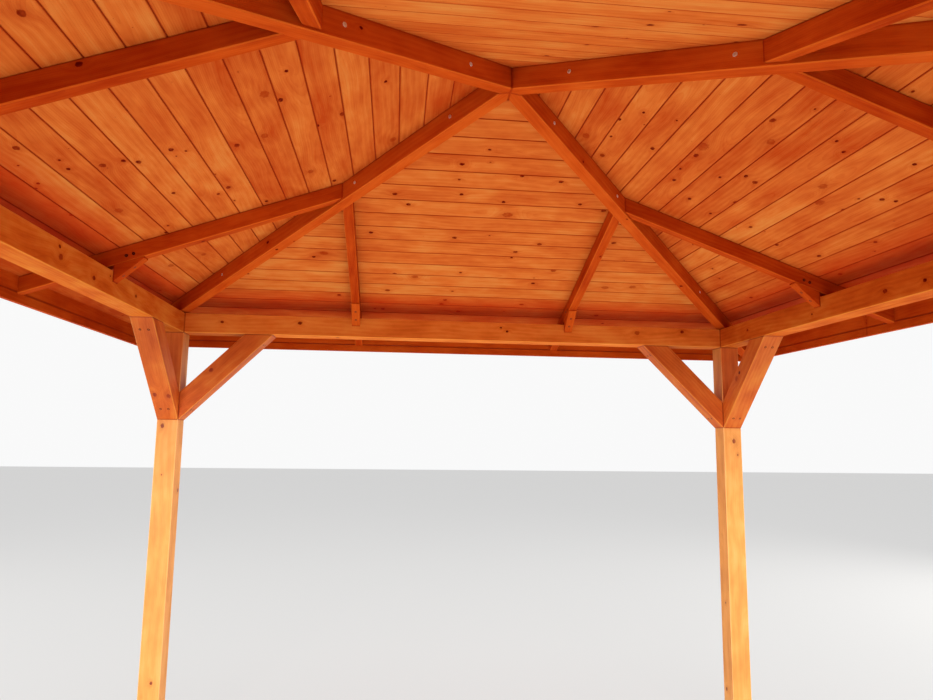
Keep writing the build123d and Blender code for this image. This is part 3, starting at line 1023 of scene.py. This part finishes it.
cap = block("hip_cap", (2 * cap_reach, CAP_EXPOSURE, cap_lift), (0, -CAP_EXPOSURE / 2, cap_lift / 2))
pick(cap, lambda middle, normal: True)
bpy.ops.mesh.bisect(plane_co=(0, 0, 0), plane_no=(1, 0, 0))
pick(cap, lambda middle, way: abs(middle.x) > cap_reach - 0.001, "EDGE")
bpy.ops.transform.translate(value=(0, 0, -cap_fall))


def upper_end(middle, way):
    """The outer edges across the cap's upper end."""
    return middle.y < -CAP_EXPOSURE + 0.001 and abs(way.x) > 0.5 and middle.z > -cap_fall / 2 + cap_lift / 2


pick(cap, upper_end, "EDGE")
bpy.ops.transform.translate(value=(0, 0, -cap_lift * 0.6))
pick(cap, lambda middle, way: abs(middle.x) < 0.001 and abs(way.y) > 0.9 and middle.z > 0.001, "EDGE")
bpy.ops.mesh.bevel(offset=0.012, segments=2, affect="EDGES")
deselect()
print("hip cap:", len(cap.data.polygons), "faces, slope across", round(math.degrees(cap_slope), 2))

# %% [markdown]
# The caps of one hip are laid from half a cap past the eave up to the apex, and cut there, at
# the eave and against the neighbouring hips.

# %% Hip caps of the four hips
top = UP * (apex + (BOARD_THICK + BUTT) / ROOF_COS)
hip_length = COVERING_LINE * math.sqrt(2) / HIP_COS
caps, number = [], 0
for x_sign, y_sign in CORNERS.values():
    way = Vector((x_sign, y_sign, 0)).normalized()
    fall = way * HIP_COS - UP * HIP_SIN
    lift = way * HIP_SIN + UP * HIP_COS
    axes = laid_on(fall, lift, top)
    of_hip, reach = [], hip_length + CAP_EXPOSURE / 2
    while reach > 0:
        number += 1
        one = copy_of(cap, f"cap_{number}", axes @ Matrix.Translation((0, reach, 0)))
        give(one, "tone", dice.uniform(-1, 1))
        of_hip.append(one)
        reach -= CAP_EXPOSURE
    caps += trimmed(of_hip, (
        ((0, 0, 0), (-x_sign, 0, 0)), ((0, 0, 0), (0, -y_sign, 0)),
        ((x_sign * COVERING_LINE, 0, 0), (x_sign, 0, 0)), ((0, y_sign * COVERING_LINE, 0), (0, y_sign, 0)),
    ))
hip_caps = joined(caps, "hip_cap_shingles")
bpy.data.objects.remove(cap)
print("hip caps:", number, "of which stay after the cuts:", len(caps))

# %% [markdown]
# Bitumen shingles are felt soaked in bitumen and pressed with crushed slate. Grains are about
# a millimetre; they are drawn three times as coarse so that they still show from the ground.
# The stone scatters light in all directions, so the finish is rough and hardly reflects.

# %% Finish of the shingles
slate, tree, shader = new_finish("slate_grit_bitumen")
here = add(tree, "TexCoord").outputs["Object"]
tone = add(tree, "Attribute", attribute_name="tone").outputs["Fac"]
grit = add(tree, "TexVoronoi", {"Vector": here, "Scale": 330.0})
speck = add(tree, "SeparateColor", {0: grit.outputs["Color"]})
patch = add(tree, "TexNoise", {"Vector": here, "Scale": 9.0, "Detail": 4.0})
level = 0.0
for part, weight in ((speck, 0.55), (patch, 0.45), (tone, 0.16)):
    level = add(tree, "Math", {0: part, 1: weight, 2: level}, operation="MULTIPLY_ADD")
shade = add(tree, "ValToRGB", {0: level})
ramp = shade.color_ramp
ramp.elements[0].position, ramp.elements[0].color = 0.1, linear("#2C2A29")
ramp.elements[1].position, ramp.elements[1].color = 0.95, linear("#8C8680")
ramp.elements.new(0.55).color = linear("#4C4947")
bump = add(tree, "Bump", {"Height": grit, "Strength": 0.6, "Distance": 0.0015})
feed(tree, shader, {"Base Color": shade, "Roughness": 0.92, "Normal": bump})
for side, piece in coverings.items():
    piece.data.materials.append(slate)
    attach(piece, "root")
    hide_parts(f"shingles_{side}")
hip_caps.data.materials.append(slate)
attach(hip_caps, "root")
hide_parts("hip_caps")
print("nodes of the shingles' finish:", len(tree.nodes))

# %% [markdown]
# The floor is a wide sheet in light paint. To the eye it is a darker paint that glows a little,
# so that it is pale all over, doesn't clip, and keeps the shadows. The sky is plain: bright to
# the eye, and weak as a light.

# %% Floor and sky
def bright_to_eye(tree):
    """1 where the camera looks, straight, in a reflection or through glass, and 0 for light."""
    path = add(tree, "LightPath").outputs
    eye = add(tree, "Math", {0: path["Is Camera Ray"], 1: path["Is Glossy Ray"]}, operation="MAXIMUM")
    return add(tree, "Math", {0: eye, 1: path["Is Transmission Ray"]}, operation="MAXIMUM").outputs[0]


deselect()
bpy.ops.mesh.primitive_plane_add(size=60, location=(0, 0, 0))
floor = bpy.context.object
floor.name = "studio_floor"
floor_finish, tree, shader = new_finish("pale_floor_paint")
seen = bright_to_eye(tree)
paint = add(tree, "Mix", {0: seen, 6: linear("#EDEBE7"), 7: linear("#7C7A77")}, data_type="RGBA")
glow = add(tree, "MapRange", {"Value": seen, "To Max": 0.58})
feed(tree, shader, {"Base Color": paint.outputs[2], "Emission Strength": glow, "Emission Color": (1, 1, 1, 1),
                    "Roughness": 0.9, "Specular IOR Level": 0.1})
floor.data.materials.append(floor_finish)

world = bpy.data.worlds.new("pale_sky")
scene.world = world
world.use_nodes = True
tree = world.node_tree
seen = bright_to_eye(tree)
strength = add(tree, "MapRange", {"Value": seen, "To Min": 0.16, "To Max": 0.95})
feed(tree, tree.nodes["Background"], {"Color": (1, 1, 1, 1), "Strength": strength})
print("floor:", floor.name, "and sky:", world.name)

# %% [markdown]
# Five large soft lamps stand in for daylight. One far out in front reaches in under the eaves
# onto the far posts, one lies low under the roof and lights the boards from below as a bright
# yard does, two come from the sides, and one is the open sky over the roof.

# %% Lamps
def soft_lamp(name, place, aim, size, power, spread=180):
    """A rectangular soft lamp that looks at a point."""
    lamp = bpy.data.objects.new(name, bpy.data.lights.new(name, "AREA"))
    scene.collection.objects.link(lamp)
    lamp.data.shape = "RECTANGLE"
    lamp.data.size, lamp.data.size_y = size
    lamp.data.energy = power
    lamp.data.spread = math.radians(spread)
    lamp.location = place
    lamp.rotation_euler = (Vector(aim) - Vector(place)).to_track_quat("-Z", "Y").to_euler()
    lamp.visible_camera = False


soft_lamp("front_daylight", (-0.9, -18.0, 4.2), (0.3, 1.5, 0.8), (11.0, 3.7), 4400)
soft_lamp("yard_glow", (0, -0.1, 0.05), (0, -0.1, 3.0), (4.6, 4.6), 31, 110)
soft_lamp("right_daylight", (8.0, 3.0, 2.9), (-1.4, 0.8, 1.0), (4.0, 0.8), 420)
soft_lamp("left_daylight", (-8.0, 2.0, 2.55), (1.4, 1.2, 1.0), (4.0, 0.8), 240)
soft_lamp("open_sky", (0, 1.0, 10.0), (0, 0, 0), (9.0, 9.0), 400)
